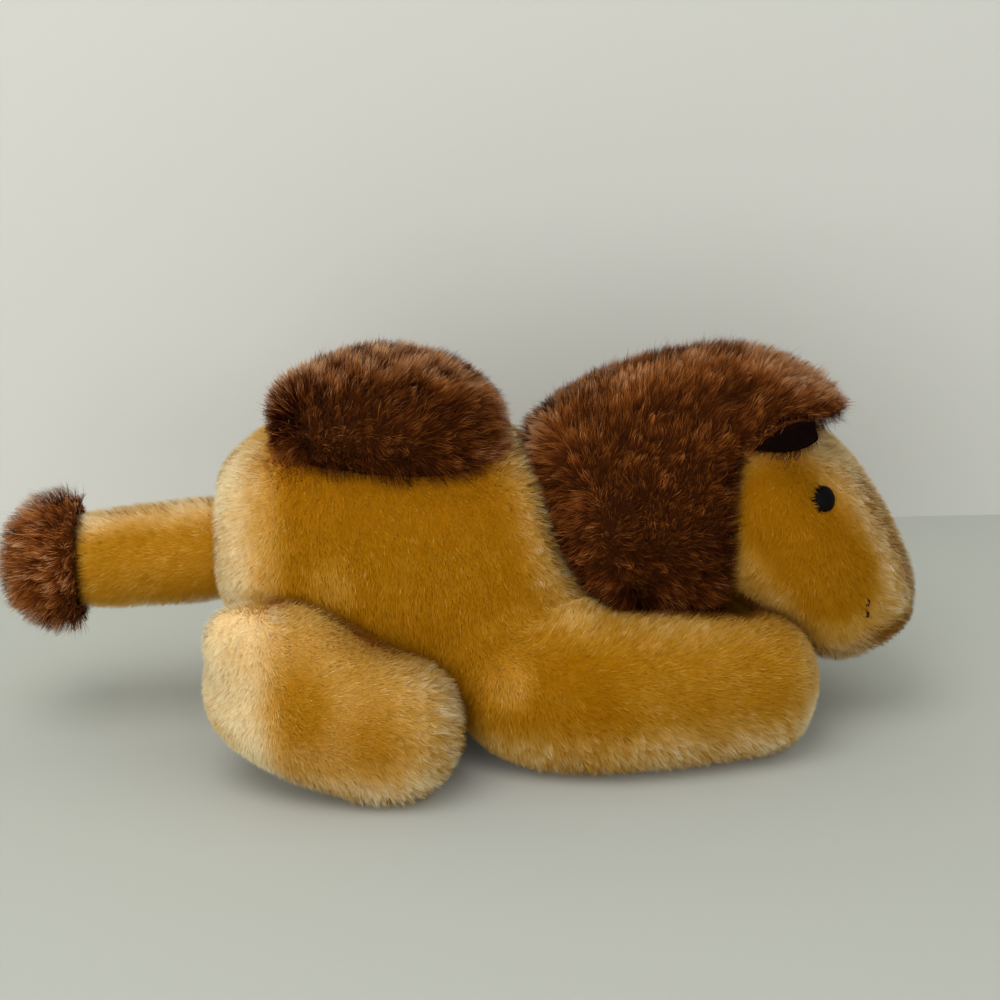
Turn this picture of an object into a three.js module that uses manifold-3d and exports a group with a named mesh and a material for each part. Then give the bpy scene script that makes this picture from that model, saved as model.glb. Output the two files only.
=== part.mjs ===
// A stuffed plush camel that lies on its folded legs: sewn covers of short golden pile and long
// brown pile over separate stuffings, with the head, ears, legs, tail and tail tuft each on a soft
// seam of its own. Millimetres, +X from the rump towards the nose, +Z up, standing on z = 0.
// The covers are as thick as their backing and pile together.
import * as THREE from 'three';
import { mergeVertices } from 'three/addons/utils/BufferGeometryUtils.js';
import Module from 'manifold-3d';

const wasm = await Module();
wasm.setup();

// Cloth and clearances
const shortPile = 5;
const longPile = 8.5;
const gap = 0.4;
const restDepth = 0.5;
const thinnestCap = 1;

// Body, from the back of the rump to the chest
const bodyLength = 107;
const bodyWidth = 76;
const bodyHeight = 79.5;
const rumpPanel = 17;
const bellyGussetWidth = 30;
const bellyGussetHeight = 34;
const closingSlitLength = 44;
const closingSlitWidth = 3;
const closingSlitForward = 57.5;
const threadRadius = 0.45;

// Rear hump
const humpLength = 62;
const humpWidth = 60;
const humpTop = 96;
const humpSetIn = 14;

// Mane: the front hump, the neck and the crown in one run of long pile
const maneLength = 86;
const maneWidth = 69;
const maneTop = 94.6;
const maneLap = 34;

// Head
const headBallRadius = 38;
const headPivotSetIn = 58;
const headPivotHeight = 61;
const headLift = 15;
const faceLength = 70;
const faceWidth = 56;
const faceHeight = 84;
const faceLap = 24;
const noseGussetWidth = 40;
const browGussetWidth = 34;
const eyeRadius = 3.5;
const eyeForward = 19;
const eyeHeight = 63.5;
const shankRadius = 1.5;
const shankLength = 7;
const washerRadius = 5.5;
const washerThickness = 1.2;
const mouthForward = 30.5;
const mouthHeight = 34;
const mouthStitch = 5;
const mouthSink = 1;

// Ears
const earLength = 18;
const earWidth = 9;
const earThickness = 3;
const earLiningThickness = 1;
const earReach = 16;
const earRootForward = 13.3;
const earRootHeight = 82.5;
const earDroop = 4.5;

// Front legs
const frontLegLength = 73;
const frontLegWidth = 35;
const frontLegHeight = 39;
const shoulderSetBack = 31;
const shoulderSpread = 30;
const shoulderRadius = 18.5;
const shoulderMouth = 12;
const frontLegSplay = 20;

// Hind legs
const hindLegReach = 27.5;
const hindLegWidth = 34;
const hindLegHeight = 41;
const hipForward = 15.5;
const hipSpread = 38;
const hipDrop = 17.5;
const hipSeamForward = 18.5;
const hipSeamSpread = 36.5;
const hipSeamHeight = 47;

// Tail and its tuft
const tailLength = 28.5;
const tailRadius = 13.5;
const tailRootHeight = 46;
const tailRootRadius = 14.1;
const tailSag = 2.2;
const tuftLength = 22.5;
const tuftRadius = 18.5;

// Points around a form and in its caps: finer on the outside than on the stuffing within
const outside = { around: 20, cap: 3 };
const inside = { around: 12, cap: 2 };

const sides = [['left', 1], ['right', -1]];
const maneStart = bodyLength - maneLap;
const headPivot = new THREE.Vector3(maneStart + headPivotSetIn, 0, headPivotHeight);
const faceStart = headPivot.x - faceLap;
const noseTip = faceStart + faceLength;
const tuftEnd = -tailLength - tuftLength;
const middle = (noseTip + tuftEnd) / 2;

// Solids from three.js geometry
function solid(geometry) {
  geometry.deleteAttribute('normal');
  geometry.deleteAttribute('uv');
  const merged = mergeVertices(geometry, 1e-4);
  return new wasm.Manifold(new wasm.Mesh({
    numProp: 3,
    vertProperties: merged.attributes.position.array,
    triVerts: new Uint32Array(merged.index.array),
  }));
}

function box(low, high) {
  const size = new THREE.Vector3().subVectors(high, low);
  const centre = new THREE.Vector3().addVectors(low, high).multiplyScalar(0.5);
  return solid(new THREE.BoxGeometry(size.x, size.y, size.z).translate(centre.x, centre.y, centre.z));
}

const far = 300;
const point = (x, y, z) => new THREE.Vector3(x, y, z);
const ahead = (x) => box(point(x, -far, -far), point(far, far, far));
const behind = (x) => box(point(-far, -far, -far), point(x, far, far));
const floor = box(point(-far, -far, -far), point(far, far, 0));

// A prism across the whole width with a side-view outline of [x, z] points
function sidePrism(outline) {
  const shape = new THREE.Shape(outline.map(([x, z]) => new THREE.Vector2(x, z)));
  const geometry = new THREE.ExtrudeGeometry(shape, { depth: 2 * far, bevelEnabled: false });
  return solid(geometry.rotateX(Math.PI / 2).translate(0, far, 0));
}

// A prism over the whole height with a top-view outline of [x, y] points
function topPrism(outline) {
  const shape = new THREE.Shape(outline.map(([x, y]) => new THREE.Vector2(x, y)));
  const geometry = new THREE.ExtrudeGeometry(shape, { depth: 2 * far, bevelEnabled: false });
  return solid(geometry.translate(0, 0, -far));
}

// All the space on one side of the toy's middle
function sideSpace(sign) {
  return box(point(-far, Math.min(0, sign * far), -far), point(far, Math.max(0, sign * far), far));
}

// A ball whose faces run round the given axis, so that it turns in a like socket
function ball(centre, radius, axis, segments, rings) {
  const geometry = new THREE.SphereGeometry(radius, segments, rings);
  if (axis === 'z') geometry.rotateX(Math.PI / 2);
  return solid(geometry.translate(centre.x, centre.y, centre.z));
}

// Six-sided thread along a path
function thread(path, radius, steps) {
  const section = new THREE.Shape(Array.from({ length: 6 }, (_, j) => new THREE.Vector2(
    radius * Math.cos((j * Math.PI) / 3), radius * Math.sin((j * Math.PI) / 3))));
  return solid(new THREE.ExtrudeGeometry(section, { extrudePath: path, steps, bevelEnabled: false }));
}

function turned(shape, centre, axis, degrees) {
  const turn = new THREE.Matrix4().makeTranslation(centre.x, centre.y, centre.z)
    .multiply(new THREE.Matrix4().makeRotationAxis(axis, THREE.MathUtils.degToRad(degrees)))
    .multiply(new THREE.Matrix4().makeTranslation(-centre.x, -centre.y, -centre.z));
  return shape.transform(turn.elements);
}

// The largest piece of a cut solid, without the loose offcuts
function mainPiece(shape) {
  return shape.decompose().reduce((most, piece) => (piece.volume() > most.volume() ? piece : most));
}

// A stuffed form: superellipse sections along a spine, with a rounded cap at each end.
// Each section has its place and its half width and half height. Upright forms keep their
// sections square to X, and the others square to the spine.
function softForm({ sections, startCap, endCap, square = 2.3, upright = true, perSpan = 1 }) {
  const spine = new THREE.CatmullRomCurve3(sections.map((s) => s.at));
  const sizes = new THREE.CatmullRomCurve3(sections.map((s) => point(s.wide, s.tall, 0)));
  const rounded = (value) => Math.sign(value) * Math.abs(value) ** (2 / square);

  function ring(t, shrink, forward, grow, around) {
    const along = upright ? point(1, 0, 0) : spine.getTangent(t);
    const across = point(0, 1, 0).addScaledVector(along, -along.y).normalize();
    const up = new THREE.Vector3().crossVectors(along, across);
    const size = sizes.getPoint(t);
    const centre = spine.getPoint(t).addScaledVector(along, forward);
    return Array.from({ length: around }, (_, j) => {
      const angle = (2 * Math.PI * j) / around;
      return centre.clone()
        .addScaledVector(across, (size.x + grow) * shrink * rounded(Math.cos(angle)))
        .addScaledVector(up, (size.y + grow) * shrink * rounded(Math.sin(angle)));
    });
  }

  function pole(t, forward) {
    const along = upright ? point(1, 0, 0) : spine.getTangent(t);
    return spine.getPoint(t).addScaledVector(along, forward);
  }

  // The form with its surface moved out by grow, or in where grow is below zero
  function grown(grow, detail = outside, openStart = 0, openEnd = 0) {
    const { around, cap } = detail;
    const spans = (detail === inside ? 1 : perSpan) * (sections.length - 1);
    // A cap thinner than its cloth draws the first or last section in
    const length = spine.getLength();
    const first = Math.max(0, thinnestCap - startCap - grow) / length;
    const last = 1 - Math.max(0, thinnestCap - endCap - grow) / length;
    const start = Math.max(thinnestCap, startCap + grow) + openStart;
    const end = Math.max(thinnestCap, endCap + grow) + openEnd;
    const rings = [];
    for (let k = cap - 1; k > 0; k--) {
      const angle = (Math.PI / 2) * (k / cap);
      rings.push(ring(first, Math.cos(angle), -start * Math.sin(angle), grow, around));
    }
    for (let k = 0; k <= spans; k++) {
      rings.push(ring(first + (last - first) * (k / spans), 1, 0, grow, around));
    }
    for (let k = 1; k < cap; k++) {
      const angle = (Math.PI / 2) * (k / cap);
      rings.push(ring(last, Math.cos(angle), end * Math.sin(angle), grow, around));
    }
    const points = [pole(first, -start), ...rings.flat(), pole(last, end)];
    const tip = points.length - 1;
    const index = [];
    const at = (i, j) => 1 + i * around + (j % around);
    for (let j = 0; j < around; j++) {
      index.push(0, at(0, j + 1), at(0, j));
      for (let i = 0; i < rings.length - 1; i++) {
        index.push(at(i, j), at(i, j + 1), at(i + 1, j + 1));
        index.push(at(i, j), at(i + 1, j + 1), at(i + 1, j));
      }
      index.push(tip, at(rings.length - 1, j), at(rings.length - 1, j + 1));
    }
    const geometry = new THREE.BufferGeometry().setFromPoints(points);
    geometry.setIndex(index);
    return solid(geometry);
  }

  // Half the width of an upright form at a place on its side
  function halfWidthAt(x, z) {
    let low = 0;
    let high = 1;
    for (let k = 0; k < 30; k++) {
      const t = (low + high) / 2;
      if (spine.getPoint(t).x < x) low = t;
      else high = t;
    }
    const size = sizes.getPoint(low);
    const reach = Math.min(1, Math.abs(z - spine.getPoint(low).z) / size.y);
    return size.x * (1 - reach ** square) ** (1 / square);
  }

  return { grown, halfWidthAt };
}

// Sections of an upright form from rows of [x, half width, underside, top]
const uprightRows = (rows) => rows.map(([x, wide, low, high]) => ({
  at: point(x, 0, (low + high) / 2), wide, tall: (high - low) / 2,
}));

// The body's sections, with the underside just below the floor where it lies flat
const bodyForm = softForm({
  sections: uprightRows([
    [0.047, 0.7, 0.39, 0.87],
    [0.12, 0.855, 0.28, 0.955],
    [0.24, 0.935, 0.15, 1],
    [0.41, 0.985, 0.05, 1],
    [0.58, 1, 0, 0.98],
    [0.72, 0.985, 0, 0.945],
    [0.8, 0.92, 0, 0.83],
    [0.88, 0.8, 0, 0.68],
    [0.935, 0.66, 0.01, 0.56],
  ].map(([x, wide, low, high]) => [
    x * bodyLength, (wide * bodyWidth) / 2, low * bodyHeight - restDepth, high * bodyHeight])),
  startCap: 0.047 * bodyLength,
  endCap: 0.065 * bodyLength,
});

// The rear hump sits on the back, and its lower part lies within the body's form
const humpUnderside = 60;
const humpForm = softForm({
  sections: uprightRows([
    [0.05, 0.67, 0, 0.76],
    [0.19, 0.86, 0, 0.875],
    [0.4, 0.96, 0, 0.99],
    [0.6, 1, 0, 0.97],
    [0.8, 0.88, 0, 0.86],
    [0.92, 0.7, 0, 0.665],
  ].map(([x, wide, low, high]) => [
    humpSetIn + x * humpLength, (wide * humpWidth) / 2, humpUnderside,
    humpUnderside + high * (humpTop - humpUnderside)])),
  startCap: 0.05 * humpLength,
  endCap: 0.08 * humpLength,
});

// The mane rises from the back to the crown and ends in a fringe over the forehead
const maneForm = softForm({
  sections: uprightRows([
    [0.024, 0.46, 0.528, 0.755],
    [0.083, 0.72, 0.401, 0.806],
    [0.186, 0.9, 0.306, 0.879],
    [0.303, 0.97, 0.264, 0.938],
    [0.449, 1, 0.264, 0.977],
    [0.576, 0.975, 0.269, 1],
    [0.664, 0.915, 0.386, 0.997],
    [0.723, 0.83, 0.741, 0.99],
    [0.791, 0.79, 0.776, 0.968],
    [0.865, 0.73, 0.797, 0.938],
    [0.928, 0.63, 0.817, 0.912],
    [0.968, 0.5, 0.832, 0.89],
  ].map(([x, wide, low, high]) => [
    maneStart + x * maneLength, (wide * maneWidth) / 2, low * maneTop, high * maneTop])),
  startCap: 0.024 * maneLength,
  endCap: 0.032 * maneLength,
});

// The face narrows and drops from the cheeks to the nose
const faceForm = softForm({
  sections: uprightRows([
    [0.085, 0.7, 0.5, 0.9],
    [0.2, 0.905, 0.44, 0.972],
    [0.34, 0.98, 0.385, 0.996],
    [0.48, 1, 0.295, 0.975],
    [0.59, 0.98, 0.205, 0.918],
    [0.69, 0.925, 0.168, 0.856],
    [0.775, 0.845, 0.176, 0.784],
    [0.845, 0.76, 0.2, 0.7],
    [0.915, 0.648, 0.235, 0.6],
    [0.957, 0.5, 0.265, 0.515],
  ].map(([x, wide, low, high]) => [
    faceStart + x * faceLength, (wide * faceWidth) / 2, low * faceHeight, high * faceHeight])),
  startCap: 0.085 * faceLength,
  endCap: 0.043 * faceLength,
});

// Golden and brown cloth meet on the shoulders along this side-view seam
function shoulderSeam(shift) {
  return [[0, 2], [0, 0.97], [0.065, 0.84], [0.105, 0.64], [0.18, 0.48], [0.22, 0.31], [0.27, 0.1],
    [0.27, -0.1]].map(([x, z]) => [maneStart + x * bodyLength + shift, z * bodyHeight]);
}
const behindShoulders = sidePrism([...shoulderSeam(0), [-far, -0.1 * bodyHeight], [-far, far]]);
const beforeShoulders = sidePrism([...shoulderSeam(gap), [far, -0.1 * bodyHeight], [far, 2 * bodyHeight]]);

// On the head the mane ends along this seam round the cheeks and under the fringe
const cheekSpace = sidePrism([[0, 0.911], [-0.045, 0.896], [-0.05, 0.796], [-0.045, 0.606], [-0.04, 0.546],
  [-0.01, 0.486], [0.05, 0.446], [0.11, 0.386], [0.21, 0.286], [1, 0.286], [1, 0.951], [0.19, 0.951]]
  .map(([x, z]) => [headPivot.x + x * faceHeight, z * faceHeight]));

// The scene graph: one group for each part that turns, placed at its pivot
const camel = new THREE.Group();
camel.position.x = -middle;
const pivots = new Map([[camel, point(0, 0, 0)]]);

function jointGroup(parent, pivot) {
  const group = new THREE.Group();
  group.position.subVectors(pivot, pivots.get(parent));
  pivots.set(group, pivot);
  parent.add(group);
  return group;
}

const cloth = (color) => new THREE.MeshStandardMaterial({ color, roughness: 0.95, metalness: 0 });
const goldPlush = cloth(0xb8761c);
const paleGoldPlush = cloth(0xcfa055);
const brownPlush = cloth(0x5c2e14);
const darkFelt = cloth(0x1d1210);
const whiteFibre = cloth(0xe8e4da);
const brownThread = cloth(0x3a2012);
const creamThread = cloth(0xd8c08a);
const blackPlastic = new THREE.MeshStandardMaterial({ color: 0x0a0a0a, roughness: 0.12, metalness: 0 });
const whitePlastic = new THREE.MeshStandardMaterial({ color: 0xdedede, roughness: 0.5, metalness: 0 });

function add(parent, name, shape, material) {
  const { vertProperties, triVerts, numProp } = mainPiece(shape).getMesh();
  const geometry = new THREE.BufferGeometry();
  geometry.setAttribute('position', new THREE.InterleavedBufferAttribute(
    new THREE.InterleavedBuffer(vertProperties, numProp), 3, 0));
  geometry.setIndex(new THREE.BufferAttribute(triVerts, 1));
  const pivot = pivots.get(parent);
  const mesh = new THREE.Mesh(geometry, material);
  mesh.name = name;
  mesh.position.copy(pivot).negate();
  parent.add(mesh);
}

// Front legs: a tube from a round shoulder to the paw
const upAxis = point(0, 0, 1);
const frontLegs = sides.map(([side, sign]) => {
  const shoulder = point(bodyLength - shoulderSetBack, sign * shoulderSpread, frontLegHeight / 2);
  const tall = frontLegHeight / 2;
  const wide = frontLegWidth / 2;
  const form = softForm({
    sections: [
      [0, 0, 0.93, 0.95],
      [0.25, 3.5, 1, 1],
      [0.55, 0.5, 1, 0.98],
      [0.81, -4, 0.95, 0.93],
    ].map(([x, out, wideShare, tallShare]) => ({
      at: point(shoulder.x + x * frontLegLength, shoulder.y + sign * out, tall * tallShare - restDepth),
      wide: wide * wideShare,
      tall: tall * tallShare,
    })),
    startCap: shoulderRadius * 0.9,
    endCap: 0.19 * frontLegLength,
    upright: false,
    perSpan: 2,
  });
  const root = (grow) => ball(shoulder, shoulderRadius + grow, 'z', 18, 8);
  const swept = (grow) => [0, 0.5, 1].map((share) => turned(
    form.grown(grow), shoulder, upAxis, sign * share * frontLegSplay))
    .reduce((all, one) => all.add(one), root(grow));
  return { side, sign, shoulder, form, root, swept };
});

// Hind legs: each an egg of stuffing, sewn along its upper edge to the flank
const hindLegs = sides.map(([side, sign]) => ({
  side,
  seam: point(hipSeamForward, sign * hipSeamSpread, hipSeamHeight),
  form: softForm({
    sections: [
      [0.03, 0, -2, 0.9, 1.02],
      [0.455, 5, -8.5, 1, 0.98],
      [1.08, 8.5, -14, 0.92, 0.87],
    ].map(([x, out, rise, wideShare, tallShare]) => ({
      at: point(hipForward + x * hindLegReach, sign * (hipSpread + out), hipSeamHeight - hipDrop + rise),
      wide: (hindLegWidth / 2) * wideShare,
      tall: (hindLegHeight / 2) * tallShare,
    })),
    startCap: 0.42 * hindLegHeight,
    endCap: 0.35 * hindLegHeight,
    upright: false,
    perSpan: 2,
  }),
}));

// The head turns about a level axis in a round seat in the neck
const headBall = (grow) => ball(headPivot, headBallRadius + grow, 'y', 28, 10);
const headSpace = headBall(0).add(ahead(headPivot.x));
const nodAxis = point(0, -1, 0);
const headForms = maneForm.grown(gap).intersect(headSpace).subtract(cheekSpace).add(faceForm.grown(gap));
const headSwept = [0, 0.25, 0.5, 0.75, 1]
  .map((share) => turned(headForms, headPivot, nodAxis, share * headLift))
  .reduce((all, one) => all.add(one), headBall(gap).intersect(behind(headPivot.x)));

// The tail turns about an upright axis in a round seat in the rump
const tailRoot = point(0, 0, tailRootHeight);
const tailSeat = (grow) => ball(tailRoot, tailRootRadius + grow, 'z', 20, 10);

// Body covers: rump panel, belly gusset and the two sides, over one stuffing
const legSeats = frontLegs.map((leg) => leg.swept(gap)).reduce((all, one) => all.add(one));
const bodySolid = bodyForm.grown(0).intersect(behindShoulders).subtract(legSeats)
  .subtract(tailSeat(0)).subtract(floor);
const bodyShell = bodySolid.subtract(bodyForm.grown(-shortPile, inside));
const half = gap / 2;
const slit = box(
  point(closingSlitForward - closingSlitLength / 2, -closingSlitWidth / 2, -restDepth),
  point(closingSlitForward + closingSlitLength / 2, closingSlitWidth / 2, 2 * shortPile));
const gussetSpace = (grow) => box(
  point(rumpPanel, -bellyGussetWidth / 2 - grow, -far),
  point(far, bellyGussetWidth / 2 + grow, bellyGussetHeight + grow));
const beyondRump = bodyShell.intersect(ahead(rumpPanel + half));
add(camel, 'rump_panel', bodyShell.intersect(behind(rumpPanel - half)), paleGoldPlush);
add(camel, 'belly_gusset', beyondRump.intersect(gussetSpace(-half)).subtract(slit), goldPlush);
for (const [side, sign] of sides) {
  const flank = sideSpace(sign).translate([0, sign * half, 0]);
  add(camel, `${side}_side_cover`, beyondRump.intersect(flank).subtract(gussetSpace(half)), goldPlush);
}
const bodyStuffing = bodyForm.grown(-shortPile - gap, inside).intersect(behindShoulders)
  .subtract(frontLegs.map((leg) => leg.swept(2 * gap)).reduce((all, one) => all.add(one)))
  .subtract(tailSeat(gap)).subtract(floor);
add(camel, 'body_filling', bodyStuffing, whiteFibre);

// The belly is closed by one thread that crosses the slit from lip to lip
const threadStep = 4;
const crossings = Math.round(closingSlitLength / threadStep) - 1;
const threadReach = closingSlitWidth / 2 - gap - threadRadius;
const threadStart = closingSlitForward - (crossings * threadStep) / 2;
const threadHeight = 0.6 * shortPile;
const threadPath = new THREE.CurvePath();
for (let k = 0; k < crossings; k++) {
  const lip = k % 2 ? threadReach : -threadReach;
  threadPath.add(new THREE.LineCurve3(
    point(threadStart + k * threadStep, lip, threadHeight),
    point(threadStart + (k + 1) * threadStep, -lip, threadHeight)));
}
add(camel, 'closing_thread', thread(threadPath, threadRadius, 2 * crossings), creamThread);

// Rear hump
const bodyOutside = bodyForm.grown(gap);
add(camel, 'rear_hump_cover',
  humpForm.grown(0).subtract(bodyOutside).subtract(humpForm.grown(-longPile, inside)), brownPlush);
add(camel, 'rear_hump_filling', humpForm.grown(-longPile - gap, inside).subtract(bodyOutside), whiteFibre);

// Neck, from the shoulders to the head's seat
const neckSpace = maneForm.grown(0).intersect(beforeShoulders).subtract(headBall(gap))
  .subtract(ahead(headPivot.x)).subtract(humpForm.grown(gap));
add(camel, 'neck_cover', neckSpace.subtract(maneForm.grown(-longPile, inside)), brownPlush);
add(camel, 'neck_filling', maneForm.grown(-longPile - gap, inside).intersect(beforeShoulders)
  .subtract(headBall(2 * gap)).subtract(ahead(headPivot.x)), whiteFibre);

// Head: crown, two face sides with the nose gusset between them, and the stuffing
const head = jointGroup(camel, headPivot);
const faceBack = headPivot.x - shortPile;
const faceShell = faceForm.grown(0).intersect(ahead(faceBack))
  .subtract(faceForm.grown(-shortPile, inside));
const crown = maneForm.grown(0).intersect(headSpace).subtract(cheekSpace)
  .subtract(faceForm.grown(gap).intersect(ahead(faceBack - gap)))
  .subtract(maneForm.grown(-longPile, inside).intersect(behind(faceBack)));

// Eyes: a domed button on a shank, locked by a washer behind the cloth
function spun(profile, segments) {
  return new THREE.LatheGeometry(profile.map(([r, h]) => new THREE.Vector2(r, h)), segments);
}
function sideFrame(x, z, sign) {
  const y = (dx, dz) => faceForm.halfWidthAt(x + dx, z + dz);
  const out = point(y(-1, 0) - y(1, 0), 2, y(0, -1) - y(0, 1)).normalize();
  out.y *= sign;
  return { at: point(x, sign * y(0, 0), z), out };
}
function placed(geometry, at, out, sink) {
  const turn = new THREE.Quaternion().setFromUnitVectors(point(0, 1, 0), out);
  const place = at.clone().addScaledVector(out, -sink);
  return solid(geometry.applyQuaternion(turn).translate(place.x, place.y, place.z));
}
const eyeSeat = 0.6 * shortPile;
const domeHeight = 0.85 * eyeRadius;
const eyeProfile = [
  [0, domeHeight], [0.45 * eyeRadius, 0.9 * domeHeight], [0.8 * eyeRadius, 0.6 * domeHeight],
  [eyeRadius, 0.15 * domeHeight], [eyeRadius, 0], [shankRadius, 0], [shankRadius, -shankLength],
  [0, -shankLength],
].reverse();
const socketProfile = [
  [0, 2 * eyeRadius], [eyeRadius + gap, 2 * eyeRadius], [eyeRadius + gap, -gap],
  [shankRadius + gap, -gap], [shankRadius + gap, -shankLength - gap], [0, -shankLength - gap],
].reverse();
const washerProfile = [
  [shankRadius + gap, 0], [washerRadius, 0], [washerRadius, washerThickness],
  [shankRadius + gap, washerThickness], [shankRadius + gap, 0],
];
const pocketProfile = [
  [0, -shankLength], [washerRadius + gap, -shankLength], [washerRadius + gap, 0], [0, 0],
];
const eyes = sides.map(([side, sign]) => {
  const { at, out } = sideFrame(headPivot.x + eyeForward, eyeHeight, sign);
  return {
    side,
    button: placed(spun(eyeProfile, 12), at, out, eyeSeat),
    socket: placed(spun(socketProfile, 12), at, out, eyeSeat),
    washer: placed(spun(washerProfile, 12), at, out, shortPile + gap + washerThickness),
    pocket: placed(spun(pocketProfile, 12), at, out, shortPile),
  };
});

// Mouth: one short dark stitch on each side, at the edge of the nose gusset
const mouths = sides.map(([side, sign]) => {
  const { at, out } = sideFrame(headPivot.x + mouthForward, mouthHeight, sign);
  const run = (radius) => {
    const reach = mouthStitch / 2 + radius - threadRadius;
    const proud = at.clone().addScaledVector(out, -mouthSink);
    const path = new THREE.LineCurve3(
      proud.clone().add(point(0, 0, -reach)), proud.clone().add(point(0, 0, reach)));
    return thread(path, radius, 1);
  };
  return { side, stitch: run(threadRadius), seat: run(threadRadius + gap) };
});
const faceCuts = [...eyes.flatMap((eye) => [eye.socket, eye.pocket]), ...mouths.map((mouth) => mouth.seat)]
  .reduce((all, one) => all.add(one));
const faceCloth = faceShell.subtract(faceCuts);
const gussetStrip = (grow) => {
  const edge = [
    [-far, browGussetWidth / 2 + grow], [headPivot.x + eyeForward, browGussetWidth / 2 + grow],
    [headPivot.x + mouthForward, noseGussetWidth / 2 + grow], [far, noseGussetWidth / 2 + grow],
  ];
  return topPrism([...edge.map(([x, y]) => [x, -y]), ...edge.reverse()]);
};
add(head, 'crown_cover', crown, brownPlush);
add(head, 'nose_gusset', faceCloth.intersect(gussetStrip(-half)), paleGoldPlush);
for (const [side, sign] of sides) {
  const cheek = faceCloth.subtract(gussetStrip(half)).intersect(sideSpace(sign));
  add(head, `${side}_face_cover`, cheek, goldPlush);
}
const headStuffing = faceForm.grown(-shortPile - gap, inside).intersect(ahead(faceBack - gap))
  .add(maneForm.grown(-longPile - gap, inside).intersect(headBall(0)).intersect(behind(faceBack - gap)));
add(head, 'head_filling', eyes.reduce((rest, eye) => rest.subtract(eye.pocket), headStuffing), whiteFibre);
for (const { side, button, washer } of eyes) {
  add(head, `${side}_eye`, button, blackPlastic);
  add(head, `${side}_eye_washer`, washer, whitePlastic);
}
for (const { side, stitch } of mouths) add(head, `${side}_mouth_stitch`, stitch, brownThread);

// Ears: a folded-back leaf of plush with a felt lining on its outer face
const headOutside = maneForm.grown(gap).add(faceForm.grown(gap));
for (const [side, sign] of sides) {
  const rootX = headPivot.x + earRootForward;
  const tipX = rootX - earReach;
  const clear = 2 * gap;
  const onMane = (x, z) => point(x, sign * (maneForm.halfWidthAt(x, earRootHeight) + clear), z);
  const root = onMane(rootX, earRootHeight);
  const tip = onMane(tipX, earRootHeight - earDroop);
  const along = new THREE.Vector3().subVectors(tip, root).normalize();
  const outward = point(0, sign, 0).addScaledVector(along, -sign * along.y).normalize();
  const across = new THREE.Vector3().crossVectors(outward, along);
  const leaf = (length, width, from, thickness) => {
    const shape = new THREE.Shape();
    shape.moveTo(0, -width * 0.3);
    shape.quadraticCurveTo(length * 0.35, -width * 0.75, length, 0);
    shape.quadraticCurveTo(length * 0.35, width * 0.75, 0, width * 0.3);
    shape.closePath();
    const geometry = new THREE.ExtrudeGeometry(shape, {
      depth: thickness, bevelEnabled: false, curveSegments: 6,
    });
    const basis = new THREE.Matrix4().makeBasis(along, across, outward);
    return solid(geometry.translate(0, 0, from).applyMatrix4(basis).translate(root.x, root.y, root.z));
  };
  const ear = jointGroup(head, root);
  const back = leaf(earLength, earWidth, 0, earThickness);
  const lining = leaf(earLength * 0.86, earWidth * 0.8, earThickness + gap, earLiningThickness);
  add(ear, `${side}_ear_back`, back.subtract(headOutside), brownPlush);
  add(ear, `${side}_ear_lining`, lining.subtract(headOutside), darkFelt);
}

// Front legs, cut to the neck, the chest and the chin
const neckOutside = maneForm.grown(gap);
for (const { side, shoulder, form, root } of frontLegs) {
  const leg = jointGroup(camel, shoulder);
  const cut = (shape) => shape.subtract(neckOutside).subtract(headSwept).subtract(floor);
  const cover = cut(form.grown(0).add(root(0)))
    .subtract(form.grown(-shortPile, inside, shoulderMouth));
  add(leg, `${side}_front_leg_cover`, cover, goldPlush);
  const filling = form.grown(-shortPile - gap, inside, shoulderMouth)
    .intersect(form.grown(-shortPile - gap).add(root(0)));
  add(leg, `${side}_front_leg_filling`, cut(filling), whiteFibre);
}

// Hind legs, cut to the flank
for (const { side, seam, form } of hindLegs) {
  const leg = jointGroup(camel, seam);
  const cut = (shape) => shape.subtract(bodyOutside).subtract(floor);
  add(leg, `${side}_hind_leg_cover`,
    cut(form.grown(0)).subtract(form.grown(-shortPile, inside)), goldPlush);
  add(leg, `${side}_hind_leg_filling`, cut(form.grown(-shortPile - gap, inside)), whiteFibre);
}

// Tail: a stuffed tube from a round root to the tuft
const tail = jointGroup(camel, tailRoot);
const tuftPivot = point(-tailLength, 0, tailRootHeight - tailSag);
const tailEndRadius = 0.92 * tailRadius;
const tailWaist = 0.95 * tailRadius;
const tailForm = softForm({
  sections: [
    { at: tuftPivot, wide: tailEndRadius, tall: tailEndRadius },
    { at: point(-tailLength / 2, 0, tailRootHeight - tailSag / 2), wide: tailWaist, tall: tailWaist },
    { at: tailRoot, wide: tailRadius, tall: tailRadius },
  ],
  startCap: tailEndRadius,
  endCap: tailRadius,
  square: 2,
});
const tuftSeat = ball(tuftPivot, tailEndRadius + gap, 'y', 20, 10);
add(tail, 'tail_cover', tailForm.grown(0).subtract(tailForm.grown(-shortPile, inside, 0, tailRadius)),
  goldPlush);
add(tail, 'tail_filling', tailForm.grown(-shortPile - gap, inside), whiteFibre);

// Tuft: a pompon of long pile drawn over the end of the tail
const tuft = jointGroup(tail, tuftPivot);
const tuftForm = softForm({
  sections: uprightRows([
    [0.18, 0.69],
    [0.4, 0.88],
    [0.68, 1],
    [0.95, 0.88],
  ].map(([x, wide]) => [
    tuftEnd + x * tuftLength, wide * tuftRadius * 0.95,
    tuftPivot.z - wide * tuftRadius, tuftPivot.z + wide * tuftRadius])),
  startCap: 0.18 * tuftLength,
  endCap: 0.05 * tuftLength,
  square: 2,
});
add(tuft, 'tail_tuft', tuftForm.grown(0).subtract(tuftSeat), brownPlush);

const part = new THREE.Group();
part.add(camel);
export default part;
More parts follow.
